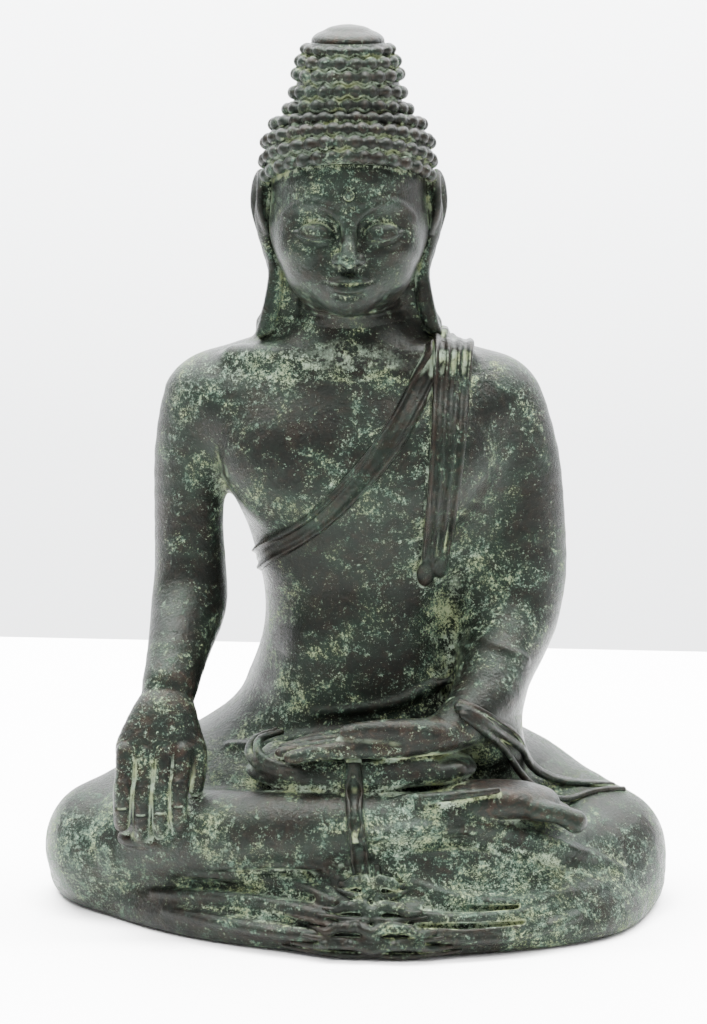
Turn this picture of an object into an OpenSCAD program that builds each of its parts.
// Seated Buddha in cast bronze, in the earth-touching gesture.
// The figure faces -Y and its left side is +X. All lengths are in millimetres.
// Shape tables are written in canon units: canon_h units from the resting face to
// the crown. u turns canon units into millimetres.

/* [Figure] */
// Height from the resting face to the crown
statue_h = 300; // [240:5:450]
// Width over the two knees, in canon units
knee_span = 210; // [202:1:214]
// Reach of the front of the seat from the body axis, in canon units
seat_front = 75; // [72:1:78]
// Reach of the back of the seat from the body axis, in canon units
seat_back = 50; // [48:1:54]

/* [Castings] */
// Wall of the hollow castings
wall = 3.6; // [3:0.1:4.5]
// Depth of the spigot that joins two castings
spigot_d = 6; // [4:0.5:7]
// Running gap round spigots and tenons
joint_gap = 0.15; // [0.1:0.05:0.3]
// Height of the raised drapery lines
fold_h = 1.6; // [1.2:0.1:2.2]

/* [Hair] */
// Radius of one hair curl, in canon units
curl_r = 2.4; // [2.0:0.1:2.4]
// Distance between neighbouring curls, in canon units
curl_pitch = 5.8; // [5.6:0.1:6.4]
// Rows of curls round the topknot
topknot_rows = 5; // [4:1:6]

/* [Base] */
// Thickness of the plate that closes the hollow seat
plate_t = 2; // [1.5:0.5:3]
// Thickness of the felt under the plate
felt_t = 0.8; // [0.6:0.1:1.2]
// Depth the plate and felt are set in from the edge of the seat
plate_inset = 4.5; // [4:0.5:6]
// Thread diameter of the plate screws
screw_d = 4; // [3:1:4]
// Length of a screw under its head
screw_l = 9; // [8:1:12]
// Outer diameter of a screw lug inside the seat
lug_d = 11; // [10:1:12]

/* [Hidden] */
canon_h = 300;
u = statue_h / canon_h;
eps = 0.01;
knee_x = knee_span / 2;
axis_y = (seat_front - seat_back) / 2;
seat_z = felt_t / u;             // underside of the bronze, canon units
waist_z = 58;                    // plane between the seat and the torso
neck_z = 196;                    // plane between the torso and the head
wall_c = wall / u;
gap_c = joint_gap / u;
spigot_c = spigot_d / u;
ring_n = 30;
bore_n = 18;                     // points round the hollow inside a casting

bronze = [0.20, 0.25, 0.20];
bronze_dark = [0.15, 0.17, 0.15];
bronze_worn = [0.30, 0.24, 0.19];
verdigris = [0.33, 0.44, 0.36];
brass = [0.62, 0.52, 0.28];
felt_green = [0.10, 0.22, 0.14];

// ---------- shape functions ----------

function clamp(v, low, high) = min(max(v, low), high);

// Point on a smooth curve through four neighbours, at t from the second to the third
function curve4(a, b, c, d, t) = 0.5 * (2 * b + (c - a) * t
    + (2 * a - 5 * b + 4 * c - d) * t * t + (3 * b - a - 3 * c + d) * t * t * t);

// Open table refined with `parts` steps between neighbouring rows
function refined(rows, parts) = let (last = len(rows) - 1) [
    for (i = [0:last - 1]) for (s = [0:parts - 1])
        curve4(rows[max(i - 1, 0)], rows[i], rows[i + 1], rows[min(i + 2, last)], s / parts),
    rows[last]];

// Closed table refined in the same way
function refined_loop(rows, parts) = let (n = len(rows)) [
    for (i = [0:n - 1]) for (s = [0:parts - 1])
        curve4(rows[(i + n - 1) % n], rows[i], rows[(i + 1) % n], rows[(i + 2) % n],
            s / parts)];

// Row of a table (first column rising) read off at height z
function row_at(rows, z) = let (
        i = max([0, for (k = [0:len(rows) - 2]) if (rows[k][0] <= z) k]),
        t = clamp((z - rows[i][0]) / (rows[i + 1][0] - rows[i][0]), 0, 1))
    rows[i] * (1 - t) + rows[i + 1] * t;

// Facets round a ball of radius r
function facets(r) = r < 3.4 ? 6 : r < 7 ? 8 : r < 12.5 ? 10 : 14;

function signed_pow(v, e) = sign(v) * pow(abs(v), e);

// One oval ring of a loft. Row: z, centre x, centre y, half width, half depth, squareness
function oval(row, grow, n) = [for (k = [0:n - 1]) let (a = 360 * k / n)
    [row[1] + (row[3] + grow) * signed_pow(cos(a), 2 / row[5]),
     row[2] + (row[4] + grow) * signed_pow(sin(a), 2 / row[5]), row[0]]];

// Y of the front (side = -1) or back (side = 1) of a loft at x, z
function loft_y(rows, x, z, side) = let (r = row_at(rows, z),
        q = clamp(abs(x - r[1]) / r[3], 0, 0.98))
    r[2] + side * r[4] * pow(1 - pow(q, r[5]), 1 / r[5]);

// ---------- shape modules ----------

// Everything is drawn in canon units and placed with its box centred on the origin
module placed() translate([0, u * axis_y, 0]) scale(u) children();

// Solid through a stack of rings with equal point counts, lowest ring first
module skin(rings) {
    n = len(rings[0]);
    top = len(rings) - 1;
    polyhedron(
        points = [for (r = rings) for (p = r) p],
        faces = [
            [for (k = [0:n - 1]) k],
            [for (k = [n - 1:-1:0]) top * n + k],
            for (j = [0:top - 1]) for (k = [0:n - 1]) for (half = [0, 1])
                half == 0
                ? [j * n + k, (j + 1) * n + k, j * n + (k + 1) % n]
                : [j * n + (k + 1) % n, (j + 1) * n + k, (j + 1) * n + (k + 1) % n]],
        convexity = 6);
}

module loft(rows, grow = 0, n = ring_n) skin([for (r = rows) oval(r, grow, n)]);

// Ball of a table row: x, y, z, then one radius or three
module blob(row, grow = 0) {
    r = len(row) > 4 ? [row[3], row[4], row[5]] : [row[3], row[3], row[3]];
    translate([row[0], row[1], row[2]])
        scale([for (v = r) max(v + grow, 0.1)]) sphere(1, $fn = facets(r[0]));
}

// Limb through a table of balls
module limb(rows, grow = 0, parts = 1) {
    path = parts > 1 ? refined(rows, parts) : rows;
    for (i = [0:len(path) - 2])
        hull() {
            blob(path[i], grow);
            blob(path[i + 1], grow);
        }
}

// Half space above (side = 1) or below (side = -1) a level
module half(z, side) translate([-canon_h, -canon_h, side > 0 ? z : z - canon_h])
    cube([2 * canon_h, 2 * canon_h, canon_h]);

// ---------- seat ----------

fan_proud = 2.5;                 // how far the hem fan stands out from the seat

// Edge of the seat on the ground, front point near the middle, anticlockwise
seat_edge = [
    [12, fan_proud - seat_front], [44, -66], [76, -46], [knee_x - 8, -20], [knee_x - 5, 5],
    [84, 27], [58, 42], [22, seat_back - 0.9], [-22, seat_back - 0.9], [-58, 42],
    [-84, 27], [5 - knee_x, 5], [-86, -22], [-57, -46], [-22, -66]];

function seat_ring(grow, z) = let (n = len(seat_edge)) [
    for (p = refined_loop(seat_edge, 2)) let (d = norm(p)) [p[0] * (d + grow) / d,
        p[1] * (d + grow) / d, z]];

// Legs: x, y, z and the three radii
right_thigh = [[-26, 20, 34, 26, 24, 25], [-56, 6, 32, 24, 25, 24],
    [18 - knee_x, -8, 24.5, 18, 24, 22]];
left_thigh = [[26, 20, 34, 26, 24, 25], [56, 6, 33, 24, 25, 24],
    [knee_x - 18, -8, 24.5, 18, 24, 22]];
right_shin = [[18 - knee_x, -10, 24, 18, 23, 22], [-58, -27, 26, 18, 18, 19],
    [-28, -41, 28, 17, 16, 17], [6, -48, 31, 16, 13, 14], [34, -46, 37, 14, 12, 11]];
left_shin = [[knee_x - 18, -10, 22, 18, 23, 21], [62, -36, 19, 17, 16, 17],
    [34, -50, 16, 16, 13, 14], [6, -55, 13, 16, 11, 12]];
seat_mass = [[-52, 18, 26, 30, 26, 24], [52, 18, 26, 30, 26, 24]];
lap_cloth = [[-34, -4, 40, 22, 26, 14], [34, -4, 40, 22, 26, 14]];

module seat_solid(grow = 0) {
    skin([seat_ring(grow - 4, seat_z - max(0, -grow)), seat_ring(grow - 1, seat_z + 4),
        seat_ring(grow, seat_z + 10), seat_ring(grow - 7, seat_z + 20 + grow)]);
    for (rows = [right_thigh, left_thigh, right_shin, left_shin, seat_mass, lap_cloth])
        limb(rows, grow);
}

// Raised fold lines over the shins. Each row: x, y, z of the ridge
shin_folds = [
    [[-80, -31, 34], [-48, -46, 33], [-14, -57, 31], [10, -62, 30]],
    [[-72, -33, 17], [-44, -48, 14], [-20, -60, 13], [4, -69, 14]],
    [[84, -30, 30], [60, -49, 25], [36, -60, 22], [18, -66, 20]],
    [[84, -34, 14], [58, -53, 12], [36, -64, 11], [20, -70, 11]]];

module lap_casting() color(bronze) placed() {
    difference() {
        union() {
            intersection() {
                seat_solid();
                translate([-canon_h, -canon_h, seat_z]) cube([2 * canon_h, 2 * canon_h,
                    waist_z - seat_z]);
            }
            for (rows = shin_folds)
                limb([for (p = rows) [p[0], p[1] + 2.2, p[2], fold_h + 0.6]]);
        }
        // hollow from below, open to the torso above
        intersection() {
            seat_solid(-wall_c);
            half(waist_z - wall_c, -1);
        }
        translate([0, 0, seat_z - 1]) linear_extrude(8)
            offset(delta = -wall_c) polygon([for (p = seat_ring(-4, 0)) [p[0], p[1]]]);
        waist_spigot(gap_c, waist_z + 1);
    }
}

// ---------- torso ----------

// z, centre x, centre y, half width, half depth, squareness
torso_rows = [
    [58, 0, 13, 58, 36, 2.3], [64, 0, 13, 51, 33.5, 2.3], [70, 1, 13, 44, 30.5, 2.3],
    [78, 1, 13, 38, 27.5, 2.3], [88, 1, 13, 34, 25.5, 2.3], [98, 1, 13, 31.8, 24.5, 2.3],
    [108, 1, 12.5, 32, 25, 2.3], [118, 1, 12, 34, 26.5, 2.4], [129, 1, 11.5, 37, 28.5, 2.4],
    [140, 1, 11, 42, 30, 2.4], [151, 1, 11, 47, 30.5, 2.5], [162, 0, 11.5, 51, 29.5, 2.5],
    [171, 0, 12.5, 54, 27.5, 2.5], [178, -1, 13.5, 54.5, 25, 2.4], [184, -1, 14, 51, 22.5, 2.3],
    [189, -2, 14, 42, 20.5, 2.2], [193, -2, 13, 29, 19, 2.1], [196, -2, 12, 22, 18, 2]];

module waist_spigot(grow, top_z) {
    base = torso_rows[0];
    loft([for (z = [waist_z - spigot_c - grow, top_z])
        [z, base[1], base[2], base[3] - 2 * wall_c, base[4] - 2 * wall_c, base[5]]], grow, bore_n);
}

module neck_spigot(grow, low_z) {
    rim = torso_rows[len(torso_rows) - 1];
    loft([for (z = [low_z, neck_z + spigot_c + grow])
        [z, rim[1], rim[2], rim[3] - 1.6 * wall_c, rim[4] - 1.6 * wall_c, rim[5]]], grow, bore_n);
}

function front_y(x, z) = loft_y(torso_rows, x, z, -1);

breasts = [[-20, -10, 152, 19, 9, 14], [22, -10, 152, 19, 9, 14]];

module torso_solid(grow = 0) {
    loft(torso_rows, grow);
    for (b = breasts) limb([b, b + [0, 2, -3, 0, 0, 0]], grow);
    limb([[0, -6, 84, 20, 8, 16], [0, -6, 96, 18, 7, 16]], grow);
}

// Spine groove and shoulder blades at the back
back_forms = [[[-24, 32, 158, 14, 8, 18], [-22, 33, 138, 12, 7, 12]],
    [[24, 32, 158, 14, 8, 18], [22, 33, 138, 12, 7, 12]],
    [[-14, 31, 84, 16, 7, 16], [-14, 32, 72, 20, 8, 12]],
    [[14, 31, 84, 16, 7, 16], [14, 32, 72, 20, 8, 12]]];

module torso_casting() color(bronze) placed() {
    difference() {
        union() {
            intersection() {
                union() {
                    torso_solid();
                    for (b = back_forms) limb(b);
                }
                half(waist_z, 1);
            }
            waist_spigot(0, waist_z + 1);
            neck_spigot(0, neck_z - 1);
        }
        // hollow, open below and through the neck
        loft(concat([[waist_z - spigot_c - 1, 0, 13, 58 - 2 * wall_c, 36 - 2 * wall_c, 2.3]],
            [for (z = [64, 78, 98, 118, 140, 162, 177]) row_at(torso_rows, z)]), -wall_c, bore_n);
        loft([for (z = [neck_z - 24, neck_z + spigot_c + 1])
            [z, -2, 12, 22 - 2.6 * wall_c, 18 - 2.6 * wall_c, 2]], 0, bore_n);
        for (side = [-1, 1]) arm_tenon(side, gap_c);
    }
}

// ---------- head ----------

head_x = -2;
skull = [head_x, 4.5, 240, 25.5, 27, 26];
chin_z = 205;
hairline_z = 253;
brow_z = chin_z + (hairline_z - chin_z) * 2 / 3;
nose_z = chin_z + (hairline_z - chin_z) / 3;
mouth_z = chin_z + (nose_z - chin_z) * 0.62;
eye_dx = 10;

// Half of the outer head, skull to jaw and neck
head_forms = [
    [skull, [head_x, 2, 232, 25, 24.5, 24]],
    [[head_x, 0, 229, 24.5, 23, 20], [head_x, -5, 216, 19, 17, 11]],
    [[head_x, -9, 212, 14.5, 12, 8.5], [head_x, -14.5, 209.5, 7, 6, 5.5]],
    [[head_x, 9, 214, 19.5, 19, 10], [head_x, 11, 199, 21, 17.5, 6]]];

module face_forms() {
    // nose, from the brow to the tip, and its wings
    limb([[head_x, -20.5, brow_z - 3, 2.6, 3, 3], [head_x, -23.5, nose_z + 5, 3, 3.4, 3],
        [head_x, -25, nose_z + 2, 3.5, 3.6, 2.8]]);
    for (side = [-1, 1]) {
        limb([[head_x, -22, nose_z + 1.6, 3, 3, 2.2],
            [head_x + side * 3.6, -20.8, nose_z + 1.8, 2.2, 2.6, 2.2]]);
        // brow arch
        limb(refined([[head_x + side * 2.5, -20.6, brow_z - 2, 1.2],
            [head_x + side * 9, -20.2, brow_z + 1.8, 1.2],
            [head_x + side * 17.5, -14, brow_z - 1.5, 1.1]], 2));
        // lowered upper lid over the eye
        limb([[head_x + side * (eye_dx - 3), -18.6, brow_z - 6.2, 3.2, 2.4, 2.4],
            [head_x + side * (eye_dx + 3), -17, brow_z - 6.4, 3.2, 2.4, 2.3]]);
        // cheek
        limb([[head_x + side * 11, -13.5, nose_z + 2.5, 8, 6, 7],
            [head_x + side * 8, -13.5, mouth_z + 1, 7, 6, 6]]);
        // upper and lower lip
        limb([[head_x, -22, mouth_z + 1.4, 3, 2, 1.3],
            [head_x + side * 6, -18.6, mouth_z + 0.9, 1.6, 1.4, 0.8]]);
        limb([[head_x, -21.6, mouth_z - 1.4, 3, 2, 1.5],
            [head_x + side * 5, -18.6, mouth_z - 0.4, 1.6, 1.4, 0.8]]);
        // creases of the neck
        limb(refined([[head_x, -7.2, 201.5, 0.9], [head_x + side * 14, -2, 203, 0.9],
            [head_x + side * 20, 9, 206, 0.9]], 2));
    }
}

module head_hollow() limb([[head_x, 5, 239, 24.5, 25, 25], [head_x, 5, 222, 20, 18, 12],
    [head_x, 12, neck_z, 17.5, 14, 8]], -wall_c);

module head_solid(grow = 0) for (rows = head_forms) limb(rows, grow);

module head_casting() color(bronze) placed() {
    difference() {
        intersection() {
            union() {
                head_solid();
                face_forms();
            }
            half(neck_z, 1);
        }
        // hollow, open at the neck
        head_hollow();
        neck_spigot(gap_c, neck_z - 1);
        knot_spigot(gap_c);
        for (side = [-1, 1]) ear_tenon(side, gap_c);
    }
}

urna_r = 1.9;

module urna_bead() color(bronze_dark) placed() translate([head_x, -21.4, brow_z + 6.5])
    rotate([90, 0, 0]) rotate_extrude($fn = 48) polygon([[0, 0], [urna_r, 0],
        [urna_r * 0.92, urna_r * 0.4], [urna_r * 0.6, urna_r * 0.75], [0, urna_r * 0.9]]);

// ---------- hair ----------

hair_c = [head_x, 4.5, 241];
hair_r = 28.6;       // the hair under its curls is a plain ball
hair_low = 24;       // lift of the front hairline, in degrees
hair_step = 9.8;     // lift between rows, in degrees
scalp_rows = 5;
nape_rows = 4;
nape_turn = 104;     // the nape rows start behind the ears
hairline_cut = 249.5;
temple_cut = 240;
nape_cut = 215;
knot_z = 267;        // seat of the topknot on the hair
cap_z = 293.4;       // seat of the smooth cap on the topknot
cap_flat = 0.52;     // height of the cap over its radius
knot_spigot_r = 9;

// Rows arch over the forehead and drop toward the ears
function arch(turn, row) = (1 - cos(turn)) * (9 - 1.7 * row);

function curls_in(angle, lift) = round(angle * PI / 180 * hair_r * cos(lift) / curl_pitch);

// Rows of curls, each curl as its turn about the head and its lift above the horizon
scalp_seats = [
    for (row = [0:scalp_rows - 1]) let (lift = hair_low + row * hair_step, count = curls_in(360, lift))
        [for (k = [0:count - 1]) let (turn = 360 * (k + (row % 2) / 2) / count)
            [turn, lift - arch(turn, row)]],
    for (row = [1:nape_rows]) let (lift = hair_low - 18 - row * hair_step,
            span = 180 - nape_turn - 3 * row, count = curls_in(2 * span, lift))
        [for (k = [0:count]) [180 + span * (2 * k / count - 1), lift]]];

// One curl is a knob of radius r with a flat seat, pointing along +Z
module curl(r) rotate_extrude($fn = 24) polygon(r * [[0, 0], [1, 0], [0.92, 0.5], [0.5, 0.95],
    [0, 0.95]]);

// z and radius of the topknot under its curls
knot = [head_x - 0.6, 4.5];
knot_rows = [[knot_z, 21], [269.5, 18.6], [273, 17], [278, 17.4], [283, 17.4], [287, 16.4],
    [290.5, 14.4], [cap_z, 12.4]];

// Radius of the topknot and its outward slope at height z
function knot_r(z) = lookup(z, knot_rows);
function knot_slope(z) = atan((knot_r(z - 1.5) - knot_r(z + 1.5)) / 3);

// Rows of the topknot, each curl as its angle round it and its height
knot_step = 17.4 / (topknot_rows - 1);
knot_curl_r = min(curl_r, knot_step / 2 - 0.07);
knot_seats = [for (row = [0:topknot_rows - 1]) let (
        z = 273 + row * knot_step, count = floor(2 * PI * knot_r(z) / curl_pitch))
    [for (k = [0:count - 1]) [360 * (k + (row % 2) / 2) / count, z]]];

// Everything of the hair ball in front of the hairline, the temples and the ears
module hair_trim() {
    translate([head_x - 60, -60, 180]) cube([120, 54, hairline_cut - 180]);
    translate([head_x - 60, -8, 180]) cube([120, 20, temple_cut - 180]);
    half(nape_cut, -1);
}

module hair_cap() color(bronze_dark) placed() difference() {
    translate(hair_c) sphere(hair_r, $fn = 40);
    hair_trim();
    head_solid();
    for (side = [-1, 1]) ear_blank(side, gap_c);
    half(knot_z, 1);
    knot_spigot(gap_c);
}

module hair_curls() color(bronze_dark) placed() translate(hair_c) for (row = scalp_seats) for (p = row)
    if (hair_c.z + hair_r * sin(p[1]) < knot_z - 2)
        rotate([0, 0, p[0] - 90]) rotate([0, 90 - p[1], 0]) translate([0, 0, hair_r]) curl(curl_r);

module knot_spigot(grow) translate([knot.x, knot.y, knot_z - spigot_c - grow])
    cylinder(h = spigot_c + 2 * grow, r = knot_spigot_r + grow, $fn = 48);

module knot_body() translate([knot.x, knot.y, 0]) rotate_extrude($fn = 48) polygon(concat(
    [[0, knot_z]], [for (r = knot_rows) [r[1], r[0]]], [[0, cap_z]]));

module ushnisha_casting() color(bronze_dark) placed() {
    knot_body();
    knot_spigot(0);
}

module topknot_curls() color(bronze_dark) placed() for (row = knot_seats) for (p = row)
    translate([knot.x, knot.y, p[1]]) rotate([0, 0, p[0]]) translate([knot_r(p[1]) + 0.1, 0, 0])
        rotate([0, 90 - knot_slope(p[1]), 0]) curl(knot_curl_r);

module crown_cap() color(bronze) placed() translate([knot.x, knot.y, cap_z]) difference() {
    scale([1, 1, cap_flat]) sphere((canon_h - cap_z) / cap_flat, $fn = 48);
    translate([-40, -40, -40]) cube([80, 80, 40]);
}

// ---------- ears ----------

// Long ear: top of the rim down to the lobe on the shoulder
function ear_rows(side) = [
    [head_x + side * 27, 3, 243, 3.2, 5, 4], [head_x + side * 29.5, 3.5, 234, 2.8, 5.5, 6],
    [head_x + side * 28, 4, 224, 2.4, 4.6, 6], [head_x + side * 26.5, 5, 214, 2.4, 4.6, 6],
    [head_x + side * 27.5, 6, 204, 3, 5.2, 5], [head_x + side * 28.5, 6, 197, 3, 5, 3.2]];

module ear_blank(side, grow) limb(ear_rows(side), grow);

module ear_tenon(side, grow) translate([head_x + side * 23 - 5 - grow, 1 - grow, 230 - grow])
    cube([10 + 2 * grow, 5 + 2 * grow, 6 + 2 * grow]);

module ear(side) color(bronze) placed() difference() {
    union() {
        difference() {
            limb(ear_rows(side), 0, 2);
            // hollow of the ear inside its rim
            limb([[head_x + side * 32.5, 0.5, 240, 1.6, 2.4, 2.4],
                [head_x + side * 33, 1.5, 230, 1.6, 2.6, 3],
                [head_x + side * 31, 2, 222, 1.4, 1.8, 2]]);
            limb([[head_x + side * 30.5, 2.5, 212, 1.2, 1, 2],
                [head_x + side * 31, 3, 203, 1.2, 1.1, 2]]);
            head_solid();
            torso_solid();
        }
        ear_tenon(side, 0);
    }
    head_hollow();
}

module right_ear() ear(-1);
module left_ear() ear(1);

// ---------- arms ----------

right_arm_rows = [[-49, 13, 170, 17, 17, 16], [-54.5, 12.5, 152, 12.6, 13.5, 12],
    [-56, 11, 132, 11.3, 12, 12], [-55.5, 8, 112, 11.6, 12, 12], [-56, 2, 103, 12, 12, 11.5],
    [-58.5, -12, 93, 10.4, 10.4, 10], [-61.5, -26, 82, 8.6, 8, 8.4]];
left_arm_rows = [[49, 13, 170, 17, 17, 16], [54.5, 12.5, 152, 14.5, 15, 13],
    [56, 11.5, 132, 14.4, 15, 13], [56, 9, 112, 15, 15.5, 13], [54, 3, 98, 14.6, 14.5, 13],
    [49, -12, 86, 13, 12, 12], [42, -26, 76, 11, 10, 9.6], [35, -35, 70, 9, 8, 7.6]];

module arm_tenon(side, grow) translate([side * 46 - 8 - grow, 8 - grow, 160 - grow])
    cube([16 + 2 * grow, 9 + 2 * grow, 10 + 2 * grow]);

module right_arm() color(bronze) placed() difference() {
    union() {
        difference() {
            limb(right_arm_rows, 0, 2);
            torso_solid();
        }
        arm_tenon(-1, 0);
    }
    translate([-40, -canon_h, 0]) cube([80, 2 * canon_h, canon_h]);
    wrist_cut(right_wrist, right_wrist_tilt);
    wrist_tenon(right_wrist, right_wrist_tilt, gap_c);
}

// Robe over the left arm, falling from the forearm to the thigh
sleeve_rows = [[56, 6, 96, 11, 12, 10], [53, -2, 80, 7, 12, 8], [52, -8, 66, 8, 11, 8],
    [50, -16, 56, 10, 9, 7]];

module left_arm() color(bronze) placed() difference() {
    union() {
        difference() {
            union() {
                limb(left_arm_rows, 0, 2);
                limb(sleeve_rows);
                limb([[44, -18, 72, 9, 9, 8], [46, -22, 60, 9, 8, 6]]);
            }
            torso_solid();
            seat_solid();
        }
        arm_tenon(1, 0);
    }
    translate([-40, -canon_h, 90]) cube([80, 2 * canon_h, canon_h]);
    wrist_cut(left_wrist, left_wrist_tilt);
    wrist_tenon(left_wrist, left_wrist_tilt, gap_c);
}

right_wrist = [-61.5, -26, 82];
right_wrist_tilt = [28, 8, 0];
left_wrist = [36, -34.5, 70];
left_wrist_tilt = [0, 80, 8];

module wrist_cut(p, tilt) translate(p) rotate(tilt) translate([-30, -30, -60]) cube([60, 60, 60]);

module wrist_tenon(p, tilt, grow) translate(p) rotate(tilt)
    translate([-2.5 - grow, -2.5 - grow, -1]) cube([5 + 2 * grow, 5 + 2 * grow, 6 + grow]);

// ---------- hands and foot ----------

// Right hand hanging over the shin, back of the hand outward
palm_r = [[-61.5, -26, 82, 8.4, 7.6, 6], [-63, -33, 75, 10, 6.4, 7], [-65.5, -39, 65, 12.4, 5.6, 6]];
finger_reach = [0.88, 1, 0.97, 0.84];

module right_hand() color(bronze_worn) placed() difference() {
    union() {
        difference() {
            union() {
                limb(palm_r);
                for (k = [0:3]) let (x = -75.5 + 6.4 * k, s = finger_reach[k]) {
                    limb([[x + 0.8, -41, 63, 3.3], [x, -45.5, 63 - 11 * s, 3],
                        [x - 0.6, -46.5, 63 - 21 * s, 2.7], [x - 0.9, -45, 63 - 27 * s, 2.3]]);
                    // nail
                    limb([[x - 0.7, -48.7, 63 - 23 * s, 1.5, 0.6, 1],
                        [x - 0.9, -47.2, 63 - 27.5 * s, 1.3, 0.6, 1]]);
                }
                // thumb
                limb([[-56, -33, 71, 4.6], [-51.5, -37, 62, 3.7], [-51, -39, 54, 3]]);
                // pad under the fingertips
                limb([[-73, -41, 34, 4, 4, 3], [-63, -42, 34, 4, 4, 3]]);
            }
            translate(right_wrist) rotate(right_wrist_tilt) translate([-30, -30, 0])
                cube([60, 60, 60]);
            seat_solid();
        }
        wrist_tenon(right_wrist, right_wrist_tilt, 0);
    }
}

// Left hand palm up in the lap, fingers toward the right knee
palm_l = [[36, -34.5, 70, 6, 7.4, 6.6], [26, -38, 67.5, 7, 9, 5.6], [12, -39.5, 65.5, 8, 10.4, 5]];

module left_hand() color(bronze_worn) placed() difference() {
    union() {
        difference() {
            union() {
                limb(palm_l);
                for (k = [0:3]) let (y = -47.5 + 5.2 * k, s = [0.92, 1, 0.96, 0.84][k])
                    limb([[8, y, 65.5, 3, 2.9, 3], [8 - 18 * s, y - 0.8, 65.2, 2.8, 2.7, 2.7],
                        [8 - 32 * s, y - 0.8, 63, 2.2, 2.1, 2]]);
                // thumb over the palm
                limb([[22, -44, 69.5, 4.4], [12, -46, 71.4, 3.4], [3, -45.5, 71.6, 2.9], [-2, -45, 71, 2.4]]);
                // folds of cloth under and round the hand
                limb([[24, -38, 59, 14, 12, 4], [-14, -38, 58, 12, 11, 3.6]]);
                for (k = [0:2]) limb([[30 - 4 * k, -48 + k, 63 + 3 * k, 1.6],
                    [18 - 4 * k, -50.5 + k, 60 + 2.6 * k, 1.6]]);
            }
            translate(left_wrist) rotate(left_wrist_tilt) translate([-30, -30, 0])
                cube([60, 60, 60]);
            seat_solid();
            torso_solid();
        }
        wrist_tenon(left_wrist, left_wrist_tilt, 0);
    }
}

module right_foot() color(bronze_worn) placed() difference() {
    union() {
        limb([[30, -46, 44, 9, 8, 6.5], [46, -45, 46.5, 10, 8, 6], [60, -41, 47.5, 10, 9, 4.6]]);
        for (k = [0:4]) let (r = k == 0 ? 3 : 2.3 - 0.12 * k)
            limb([[63 - 0.8 * k, -48 + 3.6 * k, 47.8, r], [75 - 1.6 * k, -46.5 + 3.6 * k, 47, r]]);
    }
    seat_solid();
}

// ---------- drapery ----------

hem_path = refined([[26, 190], [20, 178], [11, 162], [-2, 146], [-16, 133], [-30, 122]], 2);
hem_w = 6;

// Rest of the hem: angle round the torso, height
hem_round = [[238, 124], [222, 122], [204, 119], [184, 117], [160, 116], [138, 117], [116, 121],
    [98, 128], [84, 138], [74, 150], [66, 163]];

// Normal of the hem path, turned toward the shoulder side
function hem_side(i) = let (a = hem_path[max(i - 1, 0)], b = hem_path[min(i + 1, len(hem_path) - 1)],
        d = b - a) [-d[1], d[0]] / norm(d);

module robe_hem_band() color(verdigris) placed() difference() {
    union() {
        for (i = [0:len(hem_path) - 2]) hull() for (k = [i, i + 1], s = [0, 1]) {
            p = hem_path[k] - hem_side(k) * hem_w * s;
            translate([p[0], front_y(p[0], p[1]) - 0.2, p[1]]) sphere(1.3, $fn = 6);
        }
        for (s = [0, 1])
            limb([for (k = [0:len(hem_path) - 1]) let (p = hem_path[k] - hem_side(k) * hem_w * s)
                [p[0], front_y(p[0], p[1]) - 0.9, p[1], fold_h * 0.75]]);
        // the band passes under the right arm and round the back to the left shoulder
        limb([for (p = hem_round) let (r = row_at(torso_rows, p[1])) [r[1] + r[3] *
            signed_pow(cos(p[0]), 2 / r[5]), r[2] + r[4] * signed_pow(sin(p[0]), 2 / r[5]),
            p[1], fold_h * 1.3]]);
    }
    torso_solid();
    right_arm_keepout();
    shoulder_flap_solid(gap_c);
}

module right_arm_keepout() limb(right_arm_rows, gap_c, 2);

flap_ridges = [[[26, 192], [25, 166], [23, 139], [22, 120]], [[31, 192], [29.6, 166], [27.4, 139], [26, 119]],
    [[36, 192], [34, 166], [31.4, 139], [29.6, 120]]];

module shoulder_flap_solid(grow = 0) {
    for (i = [0:4]) hull() for (z = [190 - 14.4 * i, 175.6 - 14.4 * i]) let (t = (190 - z) / 72,
            low = 25 - 2.5 * t, high = 39 - 8 * t)
        for (x = [low, high])
            translate([x, front_y(x, z) - 2, z]) sphere(2.6 + grow, $fn = 6);
    // the two rounded ends of the flap
    for (x = [22.8, 29])
        limb([[x, front_y(x, 122) - 2.4, 122, 3.4, 3, 3.4],
            [x - 0.8, front_y(x, 114) - 2, 114.5, 3, 2.6, 3]], grow);
    // over the shoulder and down the back
    limb([[33, 0, 188, 8, 5, 3.4], [34, 15, 189.4, 8, 7, 3.4], [32, 31, 184, 7, 5, 4.6],
        [30, 39, 168, 6.5, 3.4, 5], [28.5, 41.4, 142, 6.2, 2.8, 5], [27, 39.6, 116, 5.8, 2.6, 5]], grow);
}

module shoulder_flap() color(verdigris) placed() difference() {
    union() {
        shoulder_flap_solid();
        for (rows = flap_ridges)
            limb([for (p = rows) [p[0], front_y(p[0], p[1]) - 4.3, p[1], fold_h * 0.8]]);
    }
    torso_solid();
    for (b = back_forms) limb(b);
    limb(left_arm_rows, gap_c, 2);
    head_solid(gap_c);
    ear_blank(1, gap_c);
}

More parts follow.
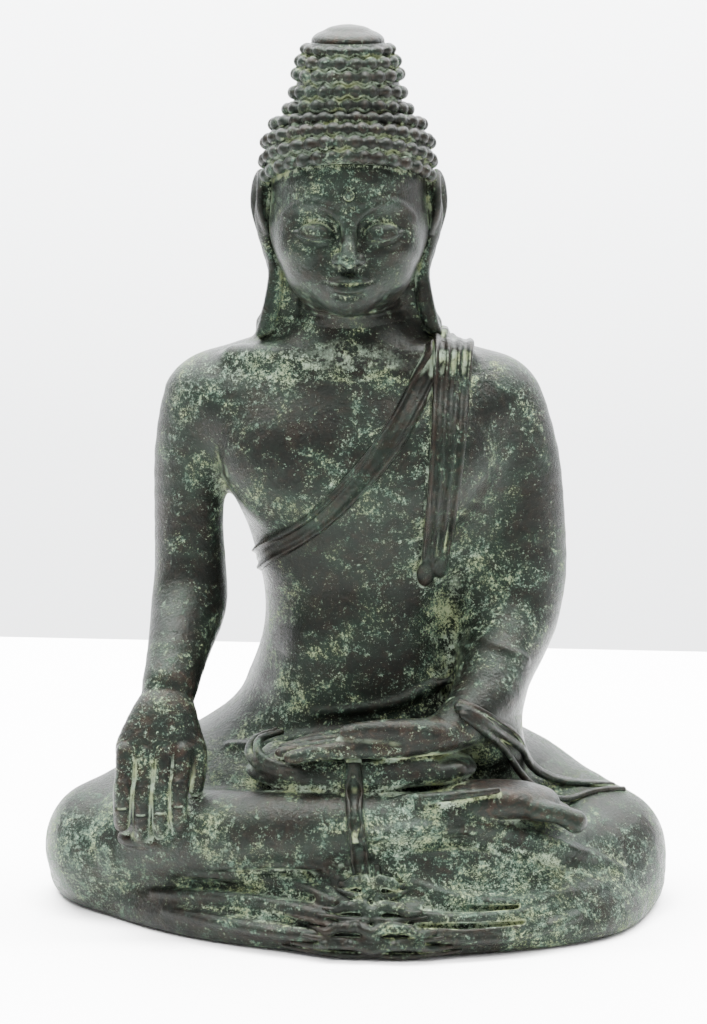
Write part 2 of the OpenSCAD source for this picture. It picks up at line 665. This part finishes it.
module sleeve_edge() color(verdigris) placed() difference() {
    for (row = [0, 1]) let (dz = 3.4 * row, dx = 1.5 * row)
        limb(refined([[40 + dx, -36, 74 - dz, 1.9], [46 + dx, -37, 64 - dz, 2], [54 + dx, -33, 57.5 - dz, 2],
            [64 + dx, -27, 53.5 - dz, 2], [74 + dx, -20, 48 - dz, 1.9], [82 + dx, -12, 44 - dz, 1.6]], 2));
    limb(left_arm_rows, gap_c, 2);
    limb(sleeve_rows, gap_c);
    limb([[44, -18, 72, 9, 9, 8], [46, -22, 60, 9, 8, 6]], gap_c);
    seat_solid();
    limb(palm_l, gap_c);
}

sash_rows = [[0, -50, 49, 4.6, 2, 2], [0, -58.6, 44.6, 4.8, 2.2, 2.2], [0.3, -64.4, 36, 5, 2.2, 2.6],
    [0.6, -67, 27, 5.4, 2.2, 2.2]];

module sash_solid(grow = 0) {
    limb(sash_rows, grow);
    for (x = [-3.4, 3.4])
        limb([for (r = sash_rows) [r[0] + x, r[1] - 1.6, r[2], 1.6]], grow);
}

module sash_end() color(verdigris) placed() difference() {
    sash_solid();
    seat_solid();
    limb(palm_l, gap_c);
    for (k = [0:3]) let (y = -47.5 + 5.2 * k)
        limb([[8, y, 65.5, 3 + gap_c, 2.9 + gap_c, 3 + gap_c], [-6, y - 0.6, 65.4, 3, 2.9, 3]]);
    limb([[24, -38, 59, 14, 12, 4], [-14, -38, 58, 12, 11, 3.6]], gap_c);
}

// Small curled pleats of the hem, in tiers down the front of the seat
fan_tiers = [[26, 7], [19, 11], [12, 14.5], [5.5, 18]];

fan_x = 6;

// Y of the middle of the seat front at height z
function fan_y(z) = lookup(z, [[0, -70], [10, -73.5], [18, -70.5], [26, -66], [32, -63]]);

module hem_fan() color(verdigris) placed() difference() {
    union() {
        for (t = fan_tiers, side = [-1, 1]) let (z = t[0], w = side * t[1], y = fan_y(z)) {
            limb([[fan_x, y - 0.4, z - 1, 2], [fan_x + w * 0.45, y - 0.8, z + 1.8, 2.2],
                [fan_x + w * 0.8, y + 0.6, z - 1.4, 2.1], [fan_x + w, y + 2.6, z + 1, 2]]);
            limb([[fan_x + w * 0.35, y - 0.4, z - 2.2, 2], [fan_x + w * 0.62, y, z - 2.4, 2]]);
        }
        limb([[fan_x, -63.5, 29, 6, 3, 3], [fan_x, -69, 19, 11, 4, 5]]);
        limb([[fan_x - 13, -67, 8, 6, 5, 6], [fan_x, -70.8, 9, 8, 4.6, 7]]);
        limb([[fan_x, -70.8, 9, 8, 4.6, 7], [fan_x + 14, -68, 8, 6, 5, 6]]);
        limb([[fan_x, -69, 19, 11, 4, 5], [fan_x, -70.8, 9, 13, 4, 5]]);
    }
    seat_solid();
    half(seat_z, -1);
    translate([-canon_h, -canon_h - seat_front, 0]) cube(canon_h * [2, 1, 1]);
    sash_solid(gap_c);
}

// ---------- base fittings ----------

lug_places = [[-62, 0], [62, 0], [-24, 34], [30, 34], [12, -50]];
lug_h = screw_l + 1;
plate_z = felt_t;

module plate_outline(inset) offset(delta = -inset) scale(u) translate([0, axis_y])
    polygon([for (p = seat_ring(-4, 0)) [p[0], p[1]]]);

function lug_at(p) = [u * p[0], u * (p[1] + axis_y), 0];

module base_plate() color(bronze_dark) difference() {
    translate([0, 0, plate_z]) linear_extrude(plate_t) plate_outline(plate_inset);
    for (p = lug_places) translate(lug_at(p)) {
        translate([0, 0, plate_z - eps]) cylinder(h = plate_t + 1, d = screw_d + 0.4, $fn = 48);
        translate([0, 0, plate_z - eps]) cylinder(h = plate_t * 0.5, r1 = screw_d * 0.95,
            r2 = screw_d / 2 + 0.2, $fn = 48);
    }
}

module base_lugs() color(bronze_dark) for (p = lug_places)
    translate(lug_at(p) + [0, 0, plate_z + plate_t]) difference() {
        cylinder(h = lug_h, d = lug_d, $fn = 48);
        translate([0, 0, -eps]) cylinder(h = screw_l - 1, d = screw_d + 0.05, $fn = 48);
    }

module base_screws() color(brass) for (p = lug_places)
    translate(lug_at(p) + [0, 0, plate_z]) {
        difference() {
            union() {
                cylinder(h = plate_t * 0.5, r1 = screw_d * 0.95 - 0.05, r2 = screw_d / 2, $fn = 48);
                cylinder(h = screw_l - 1, d = screw_d, $fn = 48);
            }
            translate([-screw_d, -0.4, -eps]) cube([2 * screw_d, 0.8, plate_t * 0.3]);
        }
    }

module felt_pad() color(felt_green) linear_extrude(felt_t) plate_outline(plate_inset + 0.5);

// ---------- the nodes ----------

lap_casting();
torso_casting();
head_casting();
hair_cap();
hair_curls();
ushnisha_casting();
topknot_curls();
crown_cap();
urna_bead();
right_ear();
left_ear();
right_arm();
right_hand();
left_arm();
left_hand();
right_foot();
shoulder_flap();
robe_hem_band();
sleeve_edge();
sash_end();
hem_fan();
base_plate();
base_lugs();
base_screws();
felt_pad();
